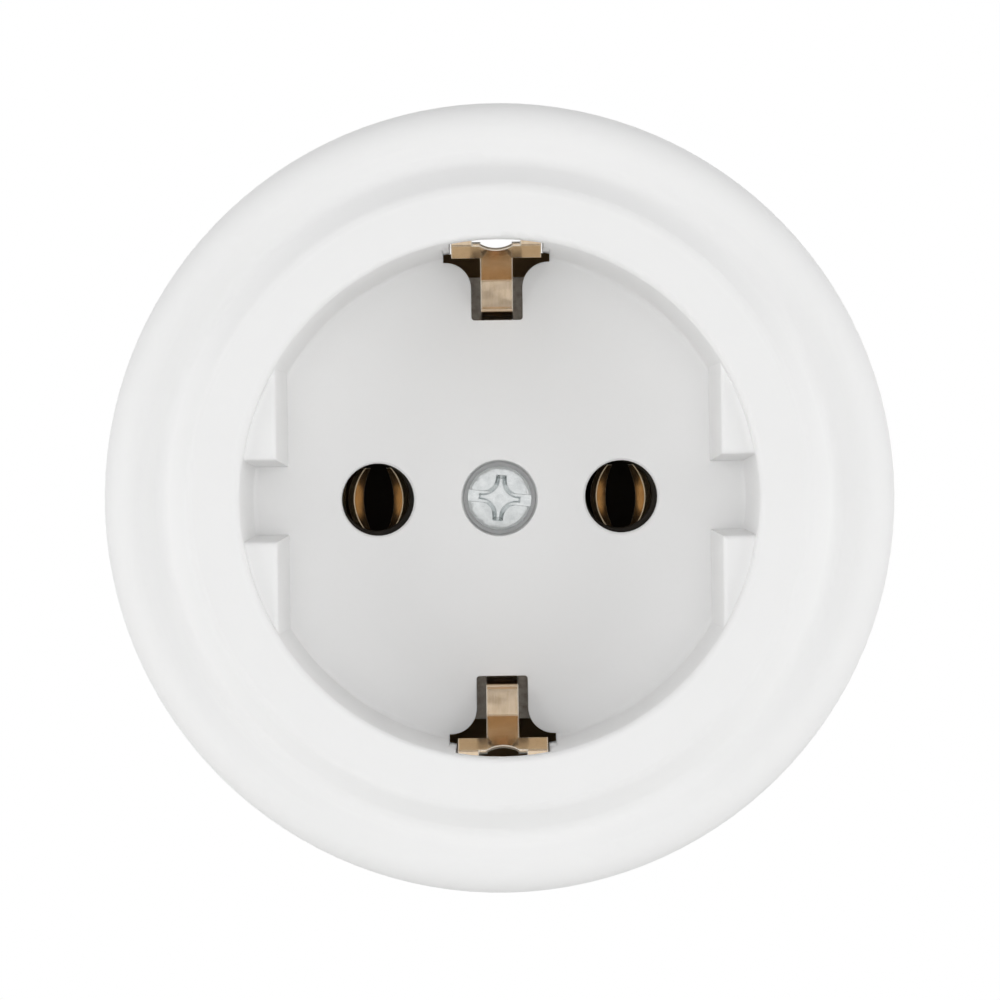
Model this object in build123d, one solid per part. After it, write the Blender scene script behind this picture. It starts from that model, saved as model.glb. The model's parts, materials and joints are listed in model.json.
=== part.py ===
from build123d import *
import os
from math import cos, hypot, radians, tan

# Bench frame: X to the right, Y up the wall, Z out of the wall into the room; the wall is Z = 0.
# Lengths are millimetres, drafts and turns are degrees.

# Cover: one white moulding, stacked from the recess outwards
mouth_radius = 19.7      # plug recess at the front
recess_depth = 17.5
recess_draft = 1.5
ring_width = 3.95        # flat front ring, recess edge to outer edge
cove_width = 1.95        # from the ring's edge to the bottom of the cove
valley_depth = 2.2       # cove bottom below the ring
bead_width = 4.45        # cove bottom to the outside
shoulder_depth = 1.2     # bead's sharp corner below the ring, before rounding
cover_wall = 2.0
skirt_draft = 0.5
rim_round = 0.5
floor_round = 0.4
front_edge_round = 0.9
valley_round = 1.2
bead_round = 2.2
inside_round = 0.5

# Guide blocks on both sides of the recess
lug_depth = 2.8          # from the recess wall to the flat, at the floor
lug_setback = 1.5        # block tops behind the ring
notch_width = 5.3
lug_round = 0.35

# Pins and their contacts
pin_spacing = 19.0
pin_hole_radius = 2.83
hole_break = 0.15        # small chamfer on hole edges
pin_depth = 20.0         # room for a pin behind the recess floor
contact_sheet = 0.5
leaf_mouth = 3.75        # gap between the two leaves where the pin enters
leaf_throat = 2.35
leaf_root = 4.9
leaf_flare = 0.75        # depth from the mouth to the throat
leaf_width = 5.0
leaf_bow = 0.95          # how far each leaf is hollowed around the pin
leaf_flex = 0.95         # room for a leaf to move away from the pin
leaf_nose = 0.35         # length of the coined edge where the pin enters
leaf_edge = 0.07         # its thickness
clip_height = 4.0        # side wall that joins two leaves
bend_radius = 1.0
cap_thickness = 1.2
cap_step = 0.23          # cap hole inside the cover's hole
cap_gap = 0.1
cap_slide = (-0.17, 0.17)     # the caps lie loose and have slid to one side
fit_gap = 0.2            # between pieces that lie in a moulded pocket

# Cover screw and its seat
screw_head_radius = 2.5
screw_head_height = 1.8
screw_shank_radius = 1.45
screw_bore_gap = 0.48    # around the head at the recess floor
screw_seat_gap = 0.3     # and at its seat
screw_sunk = 0.3         # head below the recess floor
seat_thickness = 1.9     # moulding under the screw head
boss_wall = 0.9
screw_grip = 5.0         # screw below the bridge's face
cover_screw_turn = -6.0
slot_cut = (0.9, 0.75)   # width and depth
cross_reach = 1.9        # cross recess: arms out from the middle
cross_width = 1.0
cross_round = 0.9        # between two arms
cross_cut = (1.1, 20)    # depth and draft
head_crown = 0.3         # share of a screw head's height that is domed
thread_gap = 0.05        # between a plain-modelled thread and its hole
hole_gap = 0.25          # clearance hole around a shank

# Earth springs
spring_sheet = 0.24
tongue_width = 2.5
slot_width = 4.0
slot_length = 5.36       # floor slot, inwards from the recess wall
slot_corner = 0.25
window_width = 8.3
window_depth = 0.85      # window's reach into the recess floor
flare_land = 0.15        # straight left beside the slot's flared corners
wall_relief = 0.26       # straight cut along the drafted wall, at the floor
window_gap = 2.1         # window above the spring
window_side = 0.15       # and beside it
leg_gap = 0.62           # slot end to the spring's leg
knee_height = 1.0        # above the recess floor
ramp_run = 2.4
ramp_rise = 1.65
lean_run = 2.3
lean_rise = 9.85
lean_hollow = 0.15       # how far it is bent back between its ends
lean_start = 0.3         # flat left at the foot of the leaning part
crown = 0.36             # how far its front edge bulges towards the plug
bar_width = 6.9
bar_drop = 3.9           # cross bar's height below its crease
ear_width = 1.6
ear_run = 1.1
ear_rise = 0.7
spring_bend = 0.7
ramp_bend = 0.4
foot_width = 4.8

# Earth bridge, rivets and fixing screws
bridge_sheet = 1.2
bridge_overhang = 2.6    # beyond the spring's leg
bridge_gap = 0.7         # to the contact towers
collar_wall = 0.9
collar_height = 1.8
rivet_radius = 1.2
rivet_head_radius = 1.9
rivet_head_height = 0.7
fixing_shank_radius = 1.1
fixing_head_radius = 2.0
fixing_head_height = 1.2
fixing_length = 8.0
head_gap = 0.3

# Terminals
terminal_shank_radius = 1.45
terminal_head_radius = 2.8
terminal_head_height = 2.0
terminal_slot = 0.8
terminal_slot_depth = 0.9
nut_width = 5.5
nut_thickness = 2.4
clamp_width = 7.4
clamp_thickness = 1.2
clamp_lip = 0.9
screw_overrun = 1.0
pillar_height = 8.0
pillar_wall = 1.2
pillar_roof = 1.2

# Base
plate_thickness = 2.6
pocket_floor = 5.0       # under the pin contacts
tower_wall = 1.2
pedestal_inset = 0.9
base_gap = 0.3           # inside the cover's skirt
cable_notch_width = 13.0
notch_gap = 2.5          # cable entry beyond the bridge
notch_round = 2.0
wall_screw_circle = 41.0
wall_screw_radius = 2.1
wall_screw_seat = 4.2
seat_sink = 0.8
core_wall = 1.4
tower_round = 0.8

# Cover's inside: ribs that stand on the base, and the thin web over the cable entry
rib_angles = (30, 150, 210, 330)
seat_rib_width = 2.0
seat_rib_depth = 1.4
seat_rib_height = 9.0
knockout_width = 11.0
knockout_height = 9.0
knockout_web = 0.8

# Levels above the wall
web_top = pocket_floor + contact_sheet
floor_level = web_top + pin_depth
front_level = floor_level + recess_depth
floor_back = floor_level - cover_wall
cap_top = floor_back - cap_gap
tower_top = cap_top - cap_thickness
leaf_top = tower_top - fit_gap
screw_seat = floor_level - screw_sunk - screw_head_height
bridge_top = screw_seat - seat_thickness
bridge_bottom = bridge_top - bridge_sheet
foot_top = bridge_top + spring_sheet
pillar_top = plate_thickness + pillar_height
lug_top = front_level - lug_setback

# Radii and half widths
floor_radius = mouth_radius - recess_depth * tan(radians(recess_draft))
ring_radius = mouth_radius + ring_width
valley_radius = ring_radius + cove_width
body_radius = valley_radius + bead_width
shoulder_level = front_level - shoulder_depth
skirt_radius = body_radius + shoulder_level * tan(radians(skirt_draft))
skirt_inside = skirt_radius - cover_wall / cos(radians(skirt_draft))
base_radius = skirt_inside - plate_thickness * tan(radians(skirt_draft)) - base_gap
guide_half = floor_radius - lug_depth
screw_bore_radius = screw_head_radius + screw_bore_gap
boss_radius = screw_bore_radius + boss_wall
pin_place = pin_spacing / 2
pocket_x = leaf_mouth / 2 + contact_sheet + leaf_flex
pocket_y = leaf_width / 2 + contact_sheet + fit_gap
tower_x = pocket_x + tower_wall
tower_y = pocket_y + tower_wall
bridge_half = pin_place - tower_x - bridge_gap

# Places along the earth line, above the middle
slot_end = floor_radius - slot_length
leg_face = slot_end + leg_gap
leg_place = leg_face + spring_sheet / 2
fixing_place = boss_radius + head_gap + fixing_head_radius
foot_end = fixing_place + fixing_head_radius + head_gap
rivet_place = (foot_end + leg_face) / 2
bridge_end = leg_face + spring_sheet + bridge_overhang
pedestal_end = bridge_end - pedestal_inset
knee_level = floor_level + knee_height
ramp_level = knee_level + ramp_rise
crease_level = ramp_level + lean_rise
ear_level = crease_level + ear_rise
window_top = ear_level + window_gap
window_inner = floor_radius - window_depth
window_outer = mouth_radius + 1.2 * cover_wall
window_half = bar_width / 2 + window_side

# Places across, to the right of the middle
nut_half = nut_width / 2
pillar_break = bend_radius - contact_sheet / 2     # clears the inside of the strips' bends
pillar_half = nut_half + fit_gap / 2 + pillar_wall
tail_place = pin_place + tower_x + fit_gap + contact_sheet / 2
terminal_place = tail_place + contact_sheet / 2 + fit_gap + pillar_half
drop_place = bridge_half + bend_radius
earth_place = drop_place + bridge_sheet / 2 + fit_gap + pillar_half
wall_screw_spot = wall_screw_circle / 2 * cos(radians(45))


def box(x0, x1, y0, y1, z0, z1):
    place = Pos((x0 + x1) / 2, (y0 + y1) / 2, (z0 + z1) / 2)
    return place * Box(x1 - x0, y1 - y0, z1 - z0)


def post(radius, x, y, z0, z1):
    return Pos(x, y, (z0 + z1) / 2) * Cylinder(radius, z1 - z0)


def offset_path(points, depth):
    # the same path moved to its right by depth, with mitred corners
    sides = []
    for (x0, y0), (x1, y1) in zip(points, points[1:]):
        length = hypot(x1 - x0, y1 - y0)
        across = ((y1 - y0) / length, (x0 - x1) / length)
        start = (x0 + depth * across[0], y0 + depth * across[1])
        sides.append((start, ((x1 - x0) / length, (y1 - y0) / length), length))
    path = [sides[0][0]]
    for (a, u, _), (b, v, _) in zip(sides, sides[1:]):
        cross = u[0] * v[1] - u[1] * v[0]
        along = ((b[0] - a[0]) * v[1] - (b[1] - a[1]) * v[0]) / cross
        path.append((a[0] + along * u[0], a[1] + along * u[1]))
    last, way, length = sides[-1]
    path.append((last[0] + length * way[0], last[1] + length * way[1]))
    return path


def cover_shell():
    outside = [
        (0, floor_level),
        (floor_radius, floor_level),
        (mouth_radius, front_level),
        (ring_radius, front_level),
        (valley_radius, front_level - valley_depth),
        (body_radius, shoulder_level),
        (skirt_radius, 0),
    ]
    inside = offset_path(outside, cover_wall)
    inside[-1] = (skirt_inside, 0)
    rounds = [floor_round, rim_round, front_edge_round, valley_round, bead_round]
    skin = FilletPolyline(*outside, radius=rounds)
    lining = FilletPolyline(*inside, radius=inside_round)
    section = make_face([
        *skin.edges(),
        Line(outside[-1], inside[-1]),
        *lining.edges(),
        Line(inside[0], outside[0]),
    ])
    return revolve(Plane.XZ * section, Axis.Z)


def guide_lugs():
    start = floor_level - cover_wall / 2
    sole = Plane.XY.offset(start)
    height = lug_top - start
    disc = extrude(sole * Circle(mouth_radius + cover_wall / 2), height)
    channel = extrude(sole * Rectangle(2 * guide_half, 4 * mouth_radius), height, taper=-recess_draft)
    notch = extrude(sole * Rectangle(4 * mouth_radius, notch_width), height, taper=-recess_draft)
    lugs = disc - channel - notch
    return fillet(lugs.edges().group_by(Axis.Z)[-1], lug_round)


def earth_opening():
    # floor slot with flared corners, cut straight up along the drafted wall, and the window in that wall
    low = floor_back - cover_wall
    slot_middle = (slot_end + window_outer) / 2
    window_middle = (window_inner + window_outer) / 2
    slot = Pos(0, slot_middle) * Rectangle(slot_width, window_outer - slot_end)
    wide = Pos(0, window_middle) * Rectangle(window_width, window_outer - window_inner)
    shape = slot + wide
    half = slot_width / 2
    for x in (-half, half):
        corner = shape.vertices().sort_by_distance((x, window_inner, 0))[0]
        shape = fillet(corner, (window_width - slot_width) / 2 - flare_land)
        end = shape.vertices().sort_by_distance((x, slot_end, 0))[0]
        shape = fillet(end, slot_corner)
    in_floor = extrude(Pos(0, 0, low) * shape, front_level - low)
    in_floor &= post(floor_radius + wall_relief, 0, 0, low, front_level)
    in_wall = box(-window_half, window_half, window_inner, window_outer, low, window_top)
    return in_floor + in_wall


def pin_hole():
    hole = post(pin_hole_radius, pin_place, 0, floor_back - 1, floor_level + 1)
    wide = pin_hole_radius + hole_break
    edge = Cone(pin_hole_radius, wide, hole_break)
    return hole + Pos(pin_place, 0, floor_level - hole_break / 2) * edge


def seat_rib(angle):
    outer = skirt_inside + cover_wall / 2
    inner = base_radius + base_gap - seat_rib_depth
    half = seat_rib_width / 2
    rib = box(inner, outer, -half, half, plate_thickness, plate_thickness + seat_rib_height)
    return Rot(0, 0, angle) * rib


def cable_knockout():
    half = knockout_width / 2
    block = box(-half, half, 0, skirt_radius, -1, knockout_height)
    hollow = post(body_radius - knockout_web, 0, 0, -1, knockout_height)
    return block & hollow


def screw_recess():
    depth = floor_level - screw_seat
    narrow = screw_head_radius + screw_seat_gap
    return Pos(0, 0, screw_seat + depth / 2) * Cone(narrow, screw_bore_radius, depth)


def cover():
    part = cover_shell() + guide_lugs()
    part += post(boss_radius, 0, 0, bridge_top, floor_back + cover_wall / 2)
    for angle in rib_angles:
        part += seat_rib(angle)
    opening = earth_opening()
    part -= opening
    part -= mirror(opening, about=Plane.XZ)
    hole = pin_hole()
    part -= hole
    part -= mirror(hole, about=Plane.YZ)
    part -= screw_recess()
    part -= post(screw_shank_radius + hole_gap, 0, 0, bridge_top - 1, floor_level)
    part -= cable_knockout()
    return part


def pan_screw(head_radius, head_height, shank_radius, length):
    # domed head with its underside at Z = 0, shank below
    rim = (1 - head_crown) * head_height
    outline = [
        (0, -length),
        (shank_radius, -length),
        (shank_radius, 0),
        (head_radius, 0),
        (head_radius, rim),
    ]
    edge = FilletPolyline(*outline, radius=[shank_radius / 3, 0, 0])
    dome = TangentArc((0, head_height), outline[-1], tangent=(1, 0))
    section = make_face([*edge.edges(), dome, Line((0, head_height), outline[0])])
    return revolve(Plane.XZ * section, Axis.Z)


def slotted(screw, head_radius, head_height, slot, depth, turn=0):
    reach = 2 * head_radius
    groove = box(-reach, reach, -slot / 2, slot / 2, head_height - depth, head_height + 1)
    return screw - Rot(0, 0, turn) * groove


def cross_recess():
    # two crossed slots with rounded corners between the arms, drawn in to the bottom
    arm = Rectangle(2 * cross_reach, cross_width)
    outline = arm + Rot(0, 0, 90) * arm
    outline = fillet(outline.vertices().sort_by_distance((0, 0, 0))[:4], cross_round)
    depth, draft = cross_cut
    return extrude(outline, -depth, taper=draft)


def cover_screw():
    length = seat_thickness + screw_grip
    screw = pan_screw(screw_head_radius, screw_head_height, screw_shank_radius, length)
    screw = slotted(screw, screw_head_radius, screw_head_height, *slot_cut)
    screw -= Pos(0, 0, screw_head_height) * cross_recess()
    return Pos(0, 0, screw_seat) * Rot(0, 0, cover_screw_turn) * screw


def leaf_section(gap, bow, level, sheet=contact_sheet):
    # one leaf cut across, hollow side towards the pin, which stands at X = 0
    half = leaf_width / 2
    near = gap / 2
    far = near + sheet
    inner = ThreePointArc((near - bow, -half), (near, 0), (near - bow, half))
    outer = ThreePointArc((far - bow, half), (far, 0), (far - bow, -half))
    side = [Line(inner @ 1, outer @ 0), Line(outer @ 1, inner @ 0)]
    return Pos(0, 0, level) * make_face([inner, side[0], outer, side[1]])


def contact_leaf():
    # nearly flat root, narrow throat, flared and hollowed mouth with its edge coined thin
    mouth = leaf_top - leaf_nose
    return loft([
        leaf_section(leaf_root, 0.1 * leaf_bow, pocket_floor),
        leaf_section(leaf_throat, 0.6 * leaf_bow, mouth - leaf_flare),
        leaf_section(leaf_mouth, leaf_bow, mouth),
        leaf_section(leaf_mouth, leaf_bow, leaf_top, leaf_edge),
    ], ruled=True)


def pin_contact():
    leaf = contact_leaf()
    half = leaf_width / 2
    part = leaf + mirror(leaf, about=Plane.YZ)
    reach = leaf_root / 2 + contact_sheet
    clip_top = pocket_floor + clip_height
    part += box(-reach, reach, -half - contact_sheet, -half, pocket_floor, clip_top)
    mid = contact_sheet / 2
    run = tail_place - pin_place
    path = FilletPolyline(
        (leaf_root / 2, pocket_floor + mid),
        (run, pocket_floor + mid),
        (run, pillar_top + mid),
        (run + pillar_half, pillar_top + mid),
        radius=bend_radius,
    )
    part += extrude(Plane.XZ * trace(path, contact_sheet), half, both=True)
    spot = terminal_place - pin_place
    outer = spot + pillar_half
    inner = spot - pillar_half + bend_radius
    part += box(inner, outer, -pillar_half, pillar_half, pillar_top, pillar_top + contact_sheet)
    part -= post(terminal_shank_radius + hole_gap, spot, 0, pillar_top - 1, pillar_top + 2)
    return Pos(pin_place, 0, 0) * part


def contact_cap():
    plate = extrude(RectangleRounded(2 * tower_x, 2 * tower_y, tower_round), cap_thickness)
    radius = pin_hole_radius - cap_step
    plate -= post(radius, 0, 0, -1, cap_thickness + 1)
    lead = cap_step / 2
    plate -= Pos(0, 0, cap_thickness - lead / 2) * Cone(radius, radius + lead, lead)
    return Pos(pin_place, 0, tower_top) * plate


def tongue_path():
    return [
        (foot_end, bridge_top + spring_sheet / 2),
        (leg_place, bridge_top + spring_sheet / 2),
        (leg_place, knee_level),
        (leg_place + ramp_run, ramp_level),
        (leg_place + ramp_run + lean_run, crease_level),
    ]


def on_lean(height):
    # a point of the leaning part, at a height above its foot
    low = tongue_path()[3]
    share = height / lean_rise
    return (low[0] + share * lean_run + 4 * lean_hollow * share * (1 - share), low[1] + height)


def strip(path, half):
    # a strip of sheet bent along a path in the upright plane, equally wide both ways
    return extrude(Plane.YZ * trace(path, spring_sheet), half, both=True)


def crowned_section(height):
    # the leaning part cut across: flat at its foot, crowned at its front edge
    half = tongue_width / 2
    bulge = max(crown * (height / lean_rise) ** 5, 0.01)
    skin = spring_sheet / 2
    near = ThreePointArc((-half, -skin), (0, -skin - bulge), (half, -skin))
    far = ThreePointArc((half, skin), (0, skin - bulge), (-half, skin))
    face = make_face([near, Line(near @ 1, far @ 0), far, Line(far @ 1, near @ 0)])
    foot = on_lean(0)
    y, z = on_lean(height)
    return Plane(origin=(0, y, z), x_dir=(1, 0, 0), z_dir=(0, y - foot[0], z - foot[1])) * face


def cross_bar():
    # two wings beside the tongue, their outer ends bent on to hook behind the recess wall
    foot = on_lean(lean_rise - bar_drop)
    crease = on_lean(lean_rise)
    tip = (crease[0] + ear_run, ear_level)
    bar = strip(FilletPolyline(foot, crease, tip, radius=ramp_bend), bar_width / 2)
    inner = bar_width / 2 - ear_width
    bar -= box(-inner, inner, 0, window_outer, crease_level, ear_level + 1)
    half = tongue_width / 2 - spring_sheet / 4
    return bar - box(-half, half, 0, window_outer, floor_level, ear_level)


def earth_spring():
    bends = [spring_bend, spring_bend, ramp_bend]
    flat = FilletPolyline(*tongue_path()[:4], on_lean(lean_start), radius=bends)
    part = strip(flat, tongue_width / 2)
    heights = (lean_start, lean_rise / 3, 2 * lean_rise / 3, lean_rise)
    part += loft([crowned_section(height) for height in heights])
    part += cross_bar()
    half = foot_width / 2
    part += box(-half, half, foot_end, leg_face - spring_bend, bridge_top, foot_top)
    return part - post(rivet_radius + thread_gap, 0, rivet_place, bridge_top - 1, foot_top + 1)


def rivet():
    # shank through spring and bridge, a low round head on each end
    grip = bridge_sheet + spring_sheet
    outline = [
        (0, -rivet_head_height),
        (rivet_head_radius, -rivet_head_height),
        (rivet_head_radius, 0),
        (rivet_radius, 0),
        (rivet_radius, grip),
        (rivet_head_radius, grip),
        (rivet_head_radius, grip + rivet_head_height),
        (0, grip + rivet_head_height),
    ]
    soft = 0.7 * rivet_head_height
    edge = FilletPolyline(*outline, radius=[soft, 0, 0, 0, 0, soft])
    section = make_face([*edge.edges(), Line(outline[-1], outline[0])])
    return Pos(0, rivet_place, bridge_bottom) * revolve(Plane.XZ * section, Axis.Z)


def bridge_screw():
    screw = pan_screw(fixing_head_radius, fixing_head_height, fixing_shank_radius, fixing_length)
    slot = 0.6 * terminal_slot
    screw = slotted(screw, fixing_head_radius, fixing_head_height, slot, fixing_head_height / 2, 40)
    return Pos(0, fixing_place, bridge_top) * screw


def earth_bridge():
    outline = RectangleRounded(2 * bridge_half, 2 * bridge_end, tower_round)
    part = extrude(Pos(0, 0, bridge_bottom) * outline, bridge_sheet)
    bore = screw_shank_radius + thread_gap
    part += post(bore + collar_wall, 0, 0, bridge_bottom - collar_height, bridge_bottom)
    part -= post(bore, 0, 0, bridge_bottom - collar_height - 1, bridge_top + 1)
    holes = ((rivet_radius + thread_gap, rivet_place), (fixing_shank_radius + hole_gap, fixing_place))
    for radius, y in holes:
        part -= post(radius, 0, y, bridge_bottom - 1, bridge_top + 1)
        part -= post(radius, 0, -y, bridge_bottom - 1, bridge_top + 1)
    mid = bridge_sheet / 2
    path = FilletPolyline(
        (bridge_half - bridge_sheet, bridge_bottom + mid),
        (drop_place, bridge_bottom + mid),
        (drop_place, pillar_top + mid),
        (earth_place + pillar_half, pillar_top + mid),
        radius=bend_radius,
    )
    tab = extrude(Plane.XZ * trace(path, bridge_sheet), rivet_head_radius + head_gap, both=True)
    inner = earth_place - pillar_half + bend_radius
    outer = earth_place + pillar_half
    tab += box(inner, outer, -pillar_half, pillar_half, pillar_top, pillar_top + bridge_sheet)
    hole = terminal_shank_radius + hole_gap
    tab -= post(hole, earth_place, 0, pillar_top - 1, pillar_top + bridge_sheet + 1)
    return part + Pos(0, -rivet_place, 0) * tab


def wire_clamp():
    # square washer, two edges turned up so that it can't slip off the wires
    half = clamp_width / 2
    part = box(-half, half, -half, half, 0, clamp_thickness)
    for side in (-1, 1):
        edge = side * (half - clamp_thickness / 4)
        lip = clamp_thickness / 4
        part += box(edge - lip, edge + lip, -half, half, 0, clamp_thickness + clamp_lip)
    return part - post(terminal_shank_radius + hole_gap, 0, 0, -1, clamp_thickness + 1)


def terminal_nut():
    part = extrude(RectangleRounded(nut_width, nut_width, 0.4), nut_thickness)
    return part - post(terminal_shank_radius + thread_gap, 0, 0, -1, nut_thickness + 1)


def terminal_screw(sheet, turn):
    length = clamp_thickness + sheet + pillar_roof + nut_thickness + screw_overrun
    screw = pan_screw(terminal_head_radius, terminal_head_height, terminal_shank_radius, length)
    cut = (terminal_slot, terminal_slot_depth)
    return slotted(screw, terminal_head_radius, terminal_head_height, *cut, turn)


def terminal(sheet, turn):
    # screw, clamp and nut as they sit around a terminal plate of the given sheet
    seat = pillar_top + sheet
    nut_seat = pillar_top - pillar_roof - nut_thickness
    return {
        "screw": Pos(0, 0, seat + clamp_thickness) * terminal_screw(sheet, turn),
        "clamp": Pos(0, 0, seat) * wire_clamp(),
        "nut": Pos(0, 0, nut_seat) * terminal_nut(),
    }


def base_tower():
    block = extrude(RectangleRounded(2 * tower_x, 2 * tower_y, tower_round), tower_top)
    block -= box(-pocket_x, pocket_x, -pocket_y, pocket_y, pocket_floor, tower_top + 1)
    block -= box(0, tower_x + 1, -pocket_y, pocket_y, pocket_floor, tower_top + 1)
    return Pos(pin_place, 0, 0) * block


def pillar(x, y):
    block = extrude(RectangleRounded(2 * pillar_half, 2 * pillar_half, tower_round), pillar_top)
    block = chamfer(block.edges().group_by(Axis.Z)[-1], pillar_break)
    block = Pos(x, y, 0) * block
    half = nut_half + fit_gap / 2
    block -= box(x - half, x + half, y - half, y + half, -1, pillar_top - pillar_roof)
    return block - post(terminal_shank_radius + hole_gap, x, y, 0, pillar_top + 1)


def pedestal():
    # block under the bridge, with room for its collar, the rivet heads and the screws
    block = box(-bridge_half, bridge_half, -pedestal_end, pedestal_end, 0, bridge_bottom)
    collar = screw_shank_radius + thread_gap + collar_wall + hole_gap
    block -= post(collar, 0, 0, bridge_top - screw_grip - 1, bridge_bottom + 1)
    rivet_room = rivet_head_height + fit_gap
    core_top = bridge_bottom - rivet_room - core_wall
    half = bridge_half - core_wall
    core_start = fixing_place + fixing_shank_radius + core_wall
    core_end = pedestal_end - core_wall
    for side in (-1, 1):
        y = side * rivet_place
        block -= post(rivet_head_radius + hole_gap, 0, y, bridge_bottom - rivet_room, bridge_bottom + 1)
        depth = fixing_length - bridge_sheet + fit_gap
        y = side * fixing_place
        block -= post(fixing_shank_radius + thread_gap, 0, y, bridge_bottom - depth, bridge_bottom + 1)
        low, high = sorted((side * core_start, side * core_end))
        block -= box(-half, half, low, high, -1, core_top)
    return block


def cable_notch():
    inner = bridge_end + notch_gap
    outer = base_radius + cable_notch_width
    shape = RectangleRounded(cable_notch_width, outer - inner, notch_round)
    return extrude(Pos(0, (inner + outer) / 2, -1) * shape, plate_thickness + 2)


def base():
    terminals = [(terminal_place, 0), (-terminal_place, 0), (earth_place, -rivet_place)]
    part = post(base_radius, 0, 0, 0, plate_thickness)
    for x, y in terminals:
        half = nut_half + fit_gap / 2
        part -= box(x - half, x + half, y - half, y + half, -1, plate_thickness + 1)
    wide = bridge_half - core_wall
    tall = pedestal_end - core_wall
    part -= box(-wide, wide, -tall, tall, -1, plate_thickness + 1)
    part += pedestal()
    tower = base_tower()
    part += tower
    part += mirror(tower, about=Plane.YZ)
    for x, y in terminals:
        part += pillar(x, y)
    part -= cable_notch()
    for side in (-1, 1):
        x = side * wall_screw_spot
        part -= post(wall_screw_radius, x, x, -1, plate_thickness + 1)
        part -= post(wall_screw_seat, x, x, plate_thickness - seat_sink, plate_thickness + 1)
    return part


def pieces():
    contact = pin_contact()
    cap = contact_cap()
    spring = earth_spring()
    fixing = bridge_screw()
    joint = rivet()
    made = {
        "cover": cover(),
        "cover_screw": cover_screw(),
        "base": base(),
        "pin_contact_right": contact,
        "pin_contact_left": mirror(contact, about=Plane.YZ),
        "contact_cap_right": Pos(*cap_slide) * cap,
        "contact_cap_left": Pos(*cap_slide) * mirror(cap, about=Plane.YZ),
        "earth_bridge": earth_bridge(),
        "earth_spring_top": spring,
        "earth_spring_bottom": mirror(spring, about=Plane.XZ),
        "earth_rivet_top": joint,
        "earth_rivet_bottom": mirror(joint, about=Plane.XZ),
        "bridge_screw_top": fixing,
        "bridge_screw_bottom": mirror(fixing, about=Plane.XZ),
    }
    for side, x, turn in (("left", -terminal_place, 25), ("right", terminal_place, -50)):
        for kind, name in (("screw", "terminal_screw"), ("clamp", "wire_clamp"), ("nut", "terminal_nut")):
            made[name + "_" + side] = Pos(x, 0, 0) * terminal(contact_sheet, turn)[kind]
    earth = terminal(bridge_sheet, 70)
    for kind, name in (("screw", "terminal_screw"), ("clamp", "wire_clamp"), ("nut", "terminal_nut")):
        made["earth_" + name] = Pos(earth_place, -rivet_place, 0) * earth[kind]
    return made


# On the wall the socket faces -Y, with Z up.
os.makedirs("parts", exist_ok=True)
for name, piece in pieces().items():
    export_step(Rot(90, 0, 0) * piece, "parts/" + name + ".step")
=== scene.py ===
import bpy
import json
import math
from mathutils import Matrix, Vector


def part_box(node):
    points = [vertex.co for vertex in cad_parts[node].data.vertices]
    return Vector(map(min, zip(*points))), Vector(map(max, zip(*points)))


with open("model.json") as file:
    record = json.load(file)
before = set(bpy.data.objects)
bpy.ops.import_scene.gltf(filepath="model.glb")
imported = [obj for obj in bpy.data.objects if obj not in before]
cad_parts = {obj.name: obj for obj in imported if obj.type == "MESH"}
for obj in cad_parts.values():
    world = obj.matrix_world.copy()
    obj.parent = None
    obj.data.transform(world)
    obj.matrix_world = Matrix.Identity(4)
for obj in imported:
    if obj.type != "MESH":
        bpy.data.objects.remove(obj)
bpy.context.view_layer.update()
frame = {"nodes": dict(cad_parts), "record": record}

scene = bpy.context.scene
scene.view_settings.view_transform = "Standard"
nodes = frame["nodes"]
mm = 0.001                     # finishes are sized in millimetres, the scene in metres
middle = 0.5                   # what the noise swings about
plainWhite = (1, 1, 1, 1)
print("frame:", len(nodes), "CAD nodes")


# one socket, so that shader maths reads as plain sums
class Flow:
    def __init__(self, bench, socket):
        self.bench = bench
        self.socket = socket

    def sum(self, operation, first, second):
        return self.bench.node("Math", {"operation": operation}, {0: first, 1: second})

    def __add__(self, other):
        return self.sum("ADD", self, other)

    def __radd__(self, other):
        return self.sum("ADD", other, self)

    def __sub__(self, other):
        return self.sum("SUBTRACT", self, other)

    def __rsub__(self, other):
        return self.sum("SUBTRACT", other, self)

    def __mul__(self, other):
        return self.sum("MULTIPLY", self, other)

    def __rmul__(self, other):
        return self.sum("MULTIPLY", other, self)

    def __truediv__(self, other):
        return self.sum("DIVIDE", self, other)

    def __rtruediv__(self, other):
        return self.sum("DIVIDE", other, self)


# a node tree to work in
class Bench:
    def __init__(self, tree):
        self.tree = tree
        tree.nodes.clear()

    def feed(self, socket, value):
        if isinstance(value, Flow):
            self.tree.links.new(value.socket, socket)
        else:
            socket.default_value = value

    # settings first, then the sockets' values or links
    def node(self, kind, settings=None, sockets=None, out=0):
        made = self.tree.nodes.new("ShaderNode" + kind)
        for key, value in (settings or {}).items():
            setattr(made, key, value)
        for key, value in (sockets or {}).items():
            self.feed(made.inputs[key], value)
        return None if out is None else Flow(self, made.outputs[out])

    # held between 0 and 1
    def clamp(self, value):
        return self.node("Clamp", {}, {0: value})

    # 1 for the camera and for what mirrors and glass show, 0 for the light itself
    def seen(self):
        rays = ("Is Camera Ray", "Is Glossy Ray", "Is Transmission Ray")
        camera, glossy, clear = [self.node("LightPath", out=ray) for ray in rays]
        return camera + glossy + clear


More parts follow.
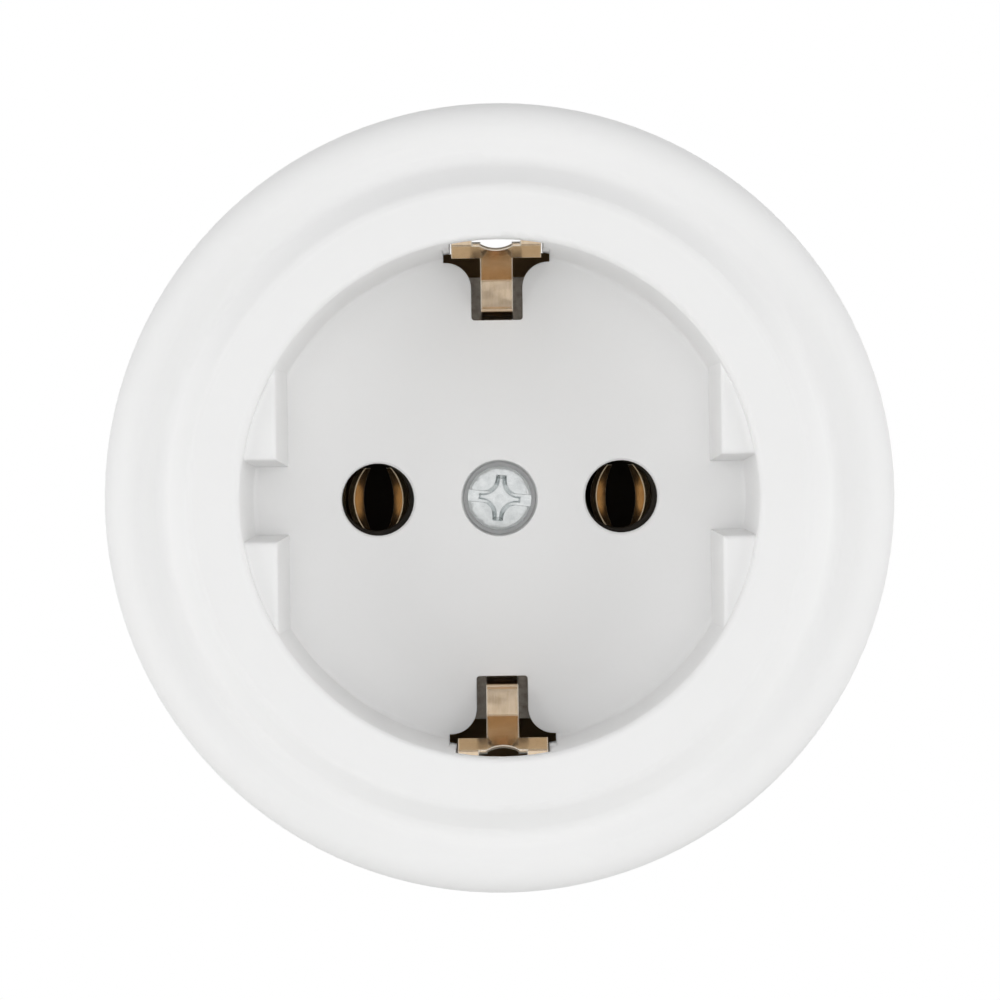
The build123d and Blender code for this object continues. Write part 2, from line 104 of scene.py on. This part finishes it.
# a principled finish; fixed values go on the shader's own sockets
class Finish(Bench):
    def __init__(self, name, fixed):
        self.material = bpy.data.materials.new(name)
        self.material.use_nodes = True
        super().__init__(self.material.node_tree)
        self.surface = self.node("BsdfPrincipled", {}, fixed)

    def give(self, key, value):
        self.feed(self.surface.socket.node.inputs[key], value)

    # shows the finish itself, or another shader that it was mixed into
    def done(self, shown=None):
        self.node("OutputMaterial", {}, {"Surface": shown or self.surface}, out=None)
        return self.material

    # the object's own coordinates in millimetres, stretched per axis
    def place(self, stretch=(1, 1, 1)):
        own = self.node("TexCoord", out="Object")
        scale = [share / mm for share in stretch]
        return self.node("VectorMath", {"operation": "MULTIPLY"}, {0: own, 1: scale})

    # soft noise with spots of about this size
    def cloud(self, size, detail, rough=0.5, stretch=(1, 1, 1)):
        where = self.place(stretch)
        values = {"Vector": where, "Scale": 1 / size, "Detail": detail, "Roughness": rough}
        return self.node("TexNoise", {}, values)

    # 6, 7 and 2 are the Mix node's colour sockets
    def mix(self, share, first, second):
        pair = [colour if isinstance(colour, Flow) else (*colour, 1) for colour in (first, second)]
        values = {"Factor": share, 6: pair[0], 7: pair[1]}
        return self.node("Mix", {"data_type": "RGBA"}, values, out=2)

    # normals rounded over sharp edges, radius in millimetres
    def soften(self, radius, samples=6):
        return self.node("Bevel", {"samples": samples}, {"Radius": radius * mm})

    # 1 along the edges that were softened, over a wider band with more gain
    def edgeBand(self, soft, gain=9.0):
        flat = self.node("NewGeometry", out="Normal")
        pair = {0: soft, 1: flat}
        alike = self.node("VectorMath", {"operation": "DOT_PRODUCT"}, pair, out="Value")
        return self.clamp((1 - alike) * gain)

    # fine relief on top, height in millimetres
    def relief(self, height, soft):
        values = {"Height": height, "Distance": mm, "Strength": 1.0, "Normal": soft}
        self.give("Normal", self.node("Bump", {}, values))


moulding = {
    "white": (0.920, 0.920, 0.919),
    "shade": (0.900, 0.900, 0.899),
    "rough": 0.48,
    "blotch": 7.0,             # slow change over the wall
    "blotchRough": 0.10,
    "blotchRelief": 0.5,       # beside the grain's 1
    "grain": 0.16,             # fine skin of the mould
    "grainRough": 0.06,
    "grainDepth": 0.0016,
    "edge": 0.12,              # rounding of sharp edges
}


def whiteMoulding(kind):
    finish = Finish("whiteMoulding", {"IOR": 1.49})
    blotch = finish.cloud(kind["blotch"], 4)
    grain = finish.cloud(kind["grain"], 3)
    finish.give("Base Color", finish.mix(blotch, kind["white"], kind["shade"]))
    swing = (blotch - middle) * kind["blotchRough"] + (grain - middle) * kind["grainRough"]
    finish.give("Roughness", kind["rough"] + swing)
    height = (grain + blotch * kind["blotchRelief"]) * kind["grainDepth"]
    finish.relief(height, finish.soften(kind["edge"]))
    return finish.done()


insulator = {
    "black": (0.010, 0.0075, 0.005),
    "grey": (0.026, 0.020, 0.014),
    "greyShare": 1.6,
    "paintedWarmLift": (0.34, 0.215, 0.100),     # painted warm light on the base where it lies in deep shade, above and below the works
    "paintedWarmLiftFrom": 15.0,                 # from the middle, up and down
    "paintedWarmLiftOver": 2.0,                  # fades in over this
    "paintedWarmLiftDepth": 1.0,                 # from the wall
    "rough": 0.50,
    "shine": 0.2,
    "blotch": 6.0,
    "fleck": 0.35,
    "fleckRough": 0.2,
    "fleckDepth": 0.012,
    "edge": 0.10,
}


def darkMoulding(kind):
    finish = Finish("darkMoulding", {"IOR": 1.5, "Specular IOR Level": kind["shine"]})
    fleck = finish.cloud(kind["fleck"], 5, 0.65)
    blotch = finish.cloud(kind["blotch"], 3)
    skin = finish.mix(fleck * blotch * kind["greyShare"], kind["black"], kind["grey"])
    # painted light: brown is painted onto the shaded base above and below the works, to lift its
    # shade
    where = finish.place()
    depth, up = [finish.node("SeparateXYZ", {}, {0: where}, out=axis) for axis in "YZ"]
    height = finish.node("Math", {"operation": "ABSOLUTE"}, {0: up})
    liftEnds = finish.clamp((height - kind["paintedWarmLiftFrom"]) / kind["paintedWarmLiftOver"])
    liftInside = finish.clamp(-kind["paintedWarmLiftDepth"] - depth)     # the front is towards -Y
    finish.give("Base Color", finish.mix(liftInside * liftEnds, skin, kind["paintedWarmLift"]))
    finish.give("Roughness", kind["rough"] + (fleck - middle) * kind["fleckRough"])
    finish.relief(fleck * kind["fleckDepth"], finish.soften(kind["edge"]))
    return finish.done()


# how streaks and dents draw out: along a bent strip, out from the wall, not at all
drawn = {"strip": (1, 0.1, 0.1), "wall": (1, 0.15, 1), "even": (1, 1, 1)}

# what all the metal has in common
worked = {
    "tarnishFrom": 0.35,
    "tarnishGain": 1.4,
    "tarnishRough": 0.12,
    "streakRough": 0.16,
    "highlitEdgeRough": 0.15,
    "highlitEdgeMetal": 0.5,          # taken off along the edges
}


# streaks from rolling or turning, a little tarnish, and a painted highlight along the edges
def workedMetal(name, kind, stretch):
    finish = Finish(name, {"Specular Tint": (*kind["grazing"], 1)})
    streak = finish.cloud(kind["streak"], 4, 0.6, stretch)
    tarnish = finish.cloud(kind["tarnish"], 5, 0.6)
    dent = finish.cloud(kind["dent"], 1, 0.5, drawn["wall"])
    soft = finish.soften(kind["edge"])
    highlitEdge = finish.edgeBand(soft)
    stain = (tarnish - worked["tarnishFrom"]) * worked["tarnishGain"]
    share = stain + (streak - middle) * kind["streaky"]
    face = finish.mix(share, kind["bright"], kind["dull"])
    # painted highlight: a pale colour along the rounded edges stands in for the light they catch
    finish.give("Base Color", finish.mix(highlitEdge, face, kind["edgeHighlight"]))
    finish.give("Metallic", kind["metal"] - highlitEdge * worked["highlitEdgeMetal"])
    swing = (streak - middle) * worked["streakRough"] + (tarnish - middle) * worked["tarnishRough"]
    finish.give("Roughness", kind["rough"] + swing + highlitEdge * worked["highlitEdgeRough"])
    finish.relief(streak * kind["streakDepth"] + dent * kind["dentDepth"], soft)
    return finish.done()


springBronze = {
    "bright": (0.760, 0.610, 0.450),
    "dull": (0.600, 0.450, 0.290),
    "grazing": (0.78, 0.60, 0.40),     # seen at a flat angle
    "edgeHighlight": (0.95, 0.90, 0.81),     # painted highlight along the edges
    "metal": 0.95,
    "rough": 0.16,
    "streak": 0.20,
    "streaky": 1.3,
    "streakDepth": 0.0005,
    "dent": 1.5,
    "dentDepth": 0.035,
    "tarnish": 1.6,
    "edge": 0.18,
}

contactBrass = {
    "bright": (0.650, 0.460, 0.260),
    "dull": (0.430, 0.275, 0.125),
    "grazing": (0.80, 0.62, 0.38),
    "edgeHighlight": (0.96, 0.88, 0.72),
    "metal": 0.93,
    "rough": 0.20,
    "streak": 0.12,
    "streaky": 1.3,
    "streakDepth": 0.003,
    "dent": 0.6,
    "dentDepth": 0.03,
    "tarnish": 0.8,
    "edge": 0.11,
}

bridgeSteel = {
    "bright": (0.420, 0.385, 0.340),
    "dull": (0.160, 0.125, 0.090),
    "grazing": (0.70, 0.65, 0.58),
    "edgeHighlight": (0.55, 0.52, 0.47),
    "metal": 0.80,
    "rough": 0.42,
    "streak": 0.20,
    "streaky": 0.6,
    "streakDepth": 0.004,
    "dent": 0.8,
    "dentDepth": 0.02,
    "tarnish": 0.5,
    "edge": 0.10,
}

zincPlate = {
    "bright": (0.750, 0.770, 0.770),
    "dull": (0.470, 0.495, 0.500),
    "grazing": (0.90, 0.92, 0.92),
    "edgeHighlight": (0.78, 0.81, 0.82),
    "metal": 0.95,
    "rough": 0.15,
    "streak": 0.10,
    "streaky": 0.4,
    "streakDepth": 0.003,
    "dent": 0.5,
    "dentDepth": 0.02,
    "tarnish": 0.7,
    "edge": 0.07,
}

finishes = {
    "white_plastic": whiteMoulding(moulding),
    "dark_plastic": darkMoulding(insulator),
    "bronze": workedMetal("springBronze", springBronze, drawn["strip"]),
    "brass": workedMetal("contactBrass", contactBrass, drawn["wall"]),
    "steel": workedMetal("bridgeSteel", bridgeSteel, drawn["even"]),
    "zinc": workedMetal("zincPlate", zincPlate, drawn["even"]),
}
for part in frame["record"]["subparts"]:
    mesh = nodes[part["node"]].data
    mesh.materials.clear()
    mesh.materials.append(finishes[part["material_slot"]])
print("finishes:", len(finishes))


studio = {
    "fill": 0.20,              # even light from all round
    "overhead": 0.54,          # and from straight above
    "backdrop": 1.0,           # what the camera and the mirrors see
    "flank": {"place": (1.10, -0.25, 0.0), "size": (0.55, 1.0), "power": 3.3},
    "cheek": {"place": (0.83, -0.83, 0.0), "size": (0.55, 1.0), "power": 3.1},
    "front": {"place": (0.0, -1.50, 0.0), "size": (0.5, 0.5), "power": 3.7},
    "back": {"place": (0.0, 1.20, 0.40), "size": (0.9, 0.7), "power": 3.0},
}


def softbox(name, kind, side=1):
    lamp = bpy.data.lights.new(name, "AREA")
    lamp.shape = "RECTANGLE"
    lamp.size, lamp.size_y = kind["size"]
    lamp.energy = kind["power"]
    made = bpy.data.objects.new(name, lamp)
    made.location = Vector(kind["place"]) * Vector((side, 1, 1))
    made.rotation_euler = (-made.location).to_track_quat("-Z", "Y").to_euler()
    made.visible_glossy = False     # mirrors show the plain white tent instead
    scene.collection.objects.link(made)


def lightStudio(kind):
    for box in ("flank", "cheek"):
        softbox(box + "Left", kind[box], -1)
        softbox(box + "Right", kind[box])
    softbox("front", kind["front"])
    softbox("back", kind["back"])
    world = bpy.data.worlds.new("whiteTent")
    world.use_nodes = True
    scene.world = world
    tent = Bench(world.node_tree)
    way = tent.node("TexCoord", out="Generated")
    above = tent.clamp(tent.node("SeparateXYZ", {}, {0: way}, out="Z"))
    glows = [{"Color": plainWhite, "Strength": kind[key]} for key in ("fill", "overhead", "backdrop")]
    fill, overhead, backdrop = [tent.node("Background", {}, glow) for glow in glows]
    light = tent.node("MixShader", {}, {0: above, 1: fill, 2: overhead})
    shown = tent.node("MixShader", {}, {0: tent.seen(), 1: light, 2: backdrop})
    tent.node("OutputWorld", {}, {"Surface": shown}, out=None)


lightStudio(studio)
print("studio lit")


floor = {
    "drop": 0.30,              # below the socket's middle
    "half": 1.2,               # half its width
    "pale": (0.86, 0.86, 0.85),
    "shade": (0.82, 0.82, 0.81),
    "blotch": 60,
    "rough": 0.6,
    "blotchRough": 0.2,
    "lift": 0.75,              # share of plain white that the camera sees
}


def layFloor(kind):
    half, level = kind["half"], -kind["drop"]
    turns = ((-1, -1), (1, -1), (1, 1), (-1, 1))
    corners = [(x * half, y * half, level) for x, y in turns]
    mesh = bpy.data.meshes.new("floor")
    mesh.from_pydata(corners, [], [(0, 1, 2, 3)])
    finish = Finish("paleFloor", {"IOR": 1.45})
    blotch = finish.cloud(kind["blotch"], 4)
    finish.give("Base Color", finish.mix(blotch, kind["pale"], kind["shade"]))
    finish.give("Roughness", kind["rough"] + blotch * kind["blotchRough"])
    glow = finish.node("Emission", {}, {"Color": plainWhite, "Strength": 1.0})
    lift = finish.seen() * kind["lift"]
    shown = finish.node("MixShader", {}, {0: lift, 1: finish.surface, 2: glow})
    mesh.materials.append(finish.done(shown))
    made = bpy.data.objects.new("floor", mesh)
    scene.collection.objects.link(made)


layFloor(floor)
print("floor laid")


view = {
    "distance": 0.550,         # in front of the ring
    "centre": (0.00003, -0.00016),
    "roll": 0.80,              # degrees
    "lens": 261.8,
    "sensor": 36,
    "nearest": 0.01,
}


def setCamera(kind):
    data = bpy.data.cameras.new("photoCamera")
    data.lens = kind["lens"]
    data.sensor_width = kind["sensor"]
    data.clip_start = kind["nearest"]
    camera = bpy.data.objects.new("photoCamera", data)
    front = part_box("cover")[0].y
    right, up = kind["centre"]
    camera.location = (right, front - kind["distance"], up)
    camera.rotation_euler = (math.pi / 2, math.radians(kind["roll"]), 0)
    scene.collection.objects.link(camera)
    scene.camera = camera


setCamera(view)
print("camera set")
